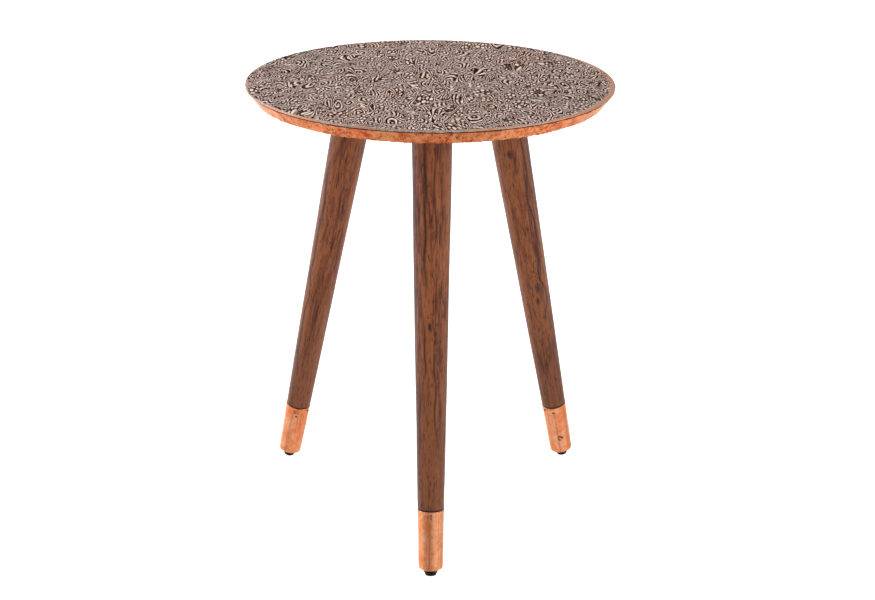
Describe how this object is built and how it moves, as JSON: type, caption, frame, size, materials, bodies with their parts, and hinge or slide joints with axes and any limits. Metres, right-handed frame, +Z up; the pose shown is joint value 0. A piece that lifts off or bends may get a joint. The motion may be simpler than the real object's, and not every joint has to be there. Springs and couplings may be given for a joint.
{
  "type": "side table",
  "caption": "Round side table: an embossed copper-clad top on splayed, tapered wooden legs with copper ferrules and glides; the legs screw into plates under the top.",
  "frame": {"origin": "on the floor, below the middle of the round top", "axes": "+Z up; the front leg points along -Y; +X to the right of someone facing that leg"},
  "size_m": [0.4, 0.4075, 0.5],
  "materials": {
    "sheet": "embossed copper with a dark antique patina",
    "copper": "bright copper, lightly mottled",
    "board": "raw board",
    "walnut": "satin, mid brown with dark streaks",
    "steel": "zinc plated",
    "glide": "black, matte"
  },
  "bodies": {
    "top": {"top_sheet": "sheet", "edge_band": "copper", "top_core": "board", "hem_tack_1": "copper", "hem_tack_2": "copper", "hem_tack_3": "copper", "hem_tack_4": "copper", "hem_tack_5": "copper", "hem_tack_6": "copper", "hem_tack_7": "copper", "hem_tack_8": "copper", "band_pin_1": "copper", "band_pin_2": "copper", "band_pin_3": "copper", "band_pin_4": "copper", "leg_plate_front": "steel", "plate_screw_front_1": "steel", "plate_screw_front_2": "steel", "plate_screw_front_3": "steel", "plate_screw_front_4": "steel", "leg_plate_right": "steel", "plate_screw_right_1": "steel", "plate_screw_right_2": "steel", "plate_screw_right_3": "steel", "plate_screw_right_4": "steel", "leg_plate_left": "steel", "plate_screw_left_1": "steel", "plate_screw_left_2": "steel", "plate_screw_left_3": "steel", "plate_screw_left_4": "steel"},
    "washer_front": {"washer_front": "steel"},
    "leg_front": {"leg_front": "walnut", "ferrule_front": "copper", "ferrule_pin_front_1": "copper", "ferrule_pin_front_2": "copper", "glide_front": "glide", "glide_nail_front": "steel", "hanger_bolt_front": "steel"},
    "washer_right": {"washer_right": "steel"},
    "leg_right": {"leg_right": "walnut", "ferrule_right": "copper", "ferrule_pin_right_1": "copper", "ferrule_pin_right_2": "copper", "glide_right": "glide", "glide_nail_right": "steel", "hanger_bolt_right": "steel"},
    "washer_left": {"washer_left": "steel"},
    "leg_left": {"leg_left": "walnut", "ferrule_left": "copper", "ferrule_pin_left_1": "copper", "ferrule_pin_left_2": "copper", "glide_left": "glide", "glide_nail_left": "steel", "hanger_bolt_left": "steel"}
  },
  "joints": [
    {"name": "leg_front_travel", "type": "slide", "parent": "top", "child": "washer_front", "axis": [0, -0.213, -0.977], "range_m": [0, 0.015]},
    {"name": "leg_front_turn", "type": "hinge", "parent": "washer_front", "child": "leg_front", "pos_m": [0, -0.19657, 0.00106], "axis": [0, -0.213, -0.977], "range_deg": [0, 4321]},
    {"name": "leg_right_travel", "type": "slide", "parent": "top", "child": "washer_right", "axis": [0.1845, 0.1065, -0.977], "range_m": [0, 0.015]},
    {"name": "leg_right_turn", "type": "hinge", "parent": "washer_right", "child": "leg_right", "pos_m": [0.17023, 0.09828, 0.00106], "axis": [0.1845, 0.1065, -0.977], "range_deg": [0, 4321]},
    {"name": "leg_left_travel", "type": "slide", "parent": "top", "child": "washer_left", "axis": [-0.1845, 0.1065, -0.977], "range_m": [0, 0.015]},
    {"name": "leg_left_turn", "type": "hinge", "parent": "washer_left", "child": "leg_left", "pos_m": [-0.17023, 0.09828, 0.00106], "axis": [-0.1845, 0.1065, -0.977], "range_deg": [0, 4321]}
  ],
  "couplings": [
    {"joint": "leg_front_turn", "follows": "leg_front_travel", "rad_per_m": 5026.5},
    {"joint": "leg_right_turn", "follows": "leg_right_travel", "rad_per_m": 5026.5},
    {"joint": "leg_left_turn", "follows": "leg_left_travel", "rad_per_m": 5026.5}
  ]
}
